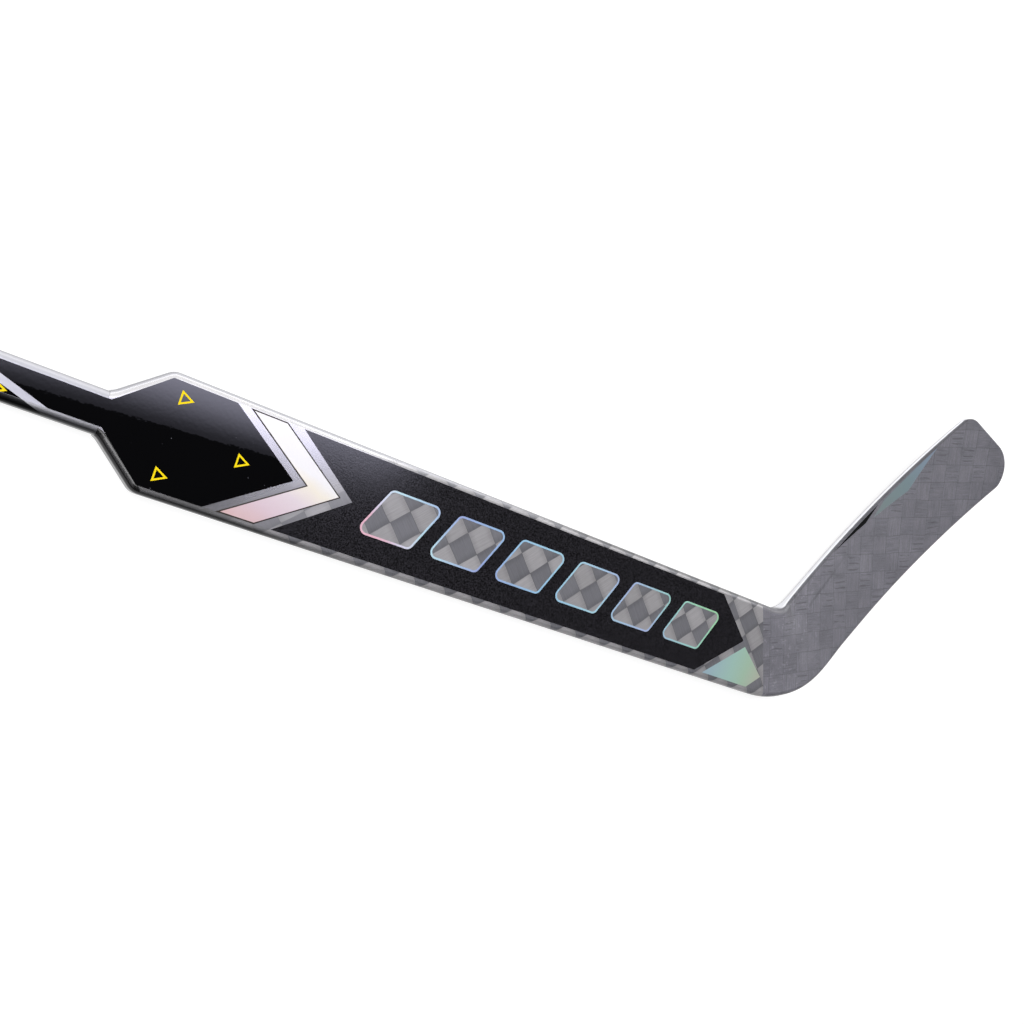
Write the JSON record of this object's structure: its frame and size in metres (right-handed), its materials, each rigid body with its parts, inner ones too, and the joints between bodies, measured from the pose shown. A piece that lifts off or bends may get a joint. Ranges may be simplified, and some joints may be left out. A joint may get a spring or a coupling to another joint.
{
  "type": "hockey goalie stick",
  "caption": "Composite ice hockey goalkeeper's stick: straight hollow shaft, wide flat paddle with black films and pale foil trim, and a curved blade set at a slant.",
  "frame": {"origin": "on the flat back face, on the paddle's axis, level with the inside corner of the heel", "axes": "+X down the shaft to the heel, +Y to the side the blade turns to, +Z out of the playing face"},
  "size_m": [1.6332, 0.3612, 0.0485],
  "materials": {
    "carbon_tube": "plain satin resin over fine carbon",
    "carbon_checker": "wide-tow carbon checker, satin",
    "carbon_blade": "wide-tow carbon, low contrast, satin",
    "carbon_insert": "raw carbon laminate",
    "dense_filler": "cast filled resin",
    "foam": "fine closed-cell foam",
    "plug_rubber": "matte",
    "gloss_black": "high gloss film",
    "satin_black": "satin film with a fine grain",
    "yellow_line": "gloss ink",
    "chevron_foil": "pale colour-shift foil",
    "dark_line": "satin ink",
    "rim_foil": "pale colour-shift foil",
    "badge_foil": "pale colour-shift foil",
    "dart_foil": "dim colour-shift foil"
  },
  "bodies": {
    "root": {"shaft_tube": "carbon_tube", "butt_plug": "plug_rubber", "shaft_tenon": "carbon_insert", "paddle_front_skin": "carbon_checker", "paddle_back_skin": "carbon_checker", "blade_front_skin": "carbon_blade", "blade_back_skin": "carbon_blade", "paddle_upper_core": "foam", "paddle_lower_core": "foam", "paddle_web": "carbon_insert", "heel_block": "dense_filler", "blade_upper_core": "foam", "blade_bridge": "carbon_insert", "blade_lower_core": "foam", "shoulder_panel": "gloss_black", "shaft_panel": "gloss_black", "paddle_panel": "satin_black", "triangle_marks": "yellow_line", "chevron_foil": "chevron_foil", "chevron_outline": "dark_line", "window_rims": "rim_foil", "heel_badge": "badge_foil", "blade_foil_dart": "dart_foil", "blade_black_dart": "satin_black", "back_shoulder_panel": "gloss_black", "back_paddle_panel": "satin_black"}
  },
  "joints": []
}
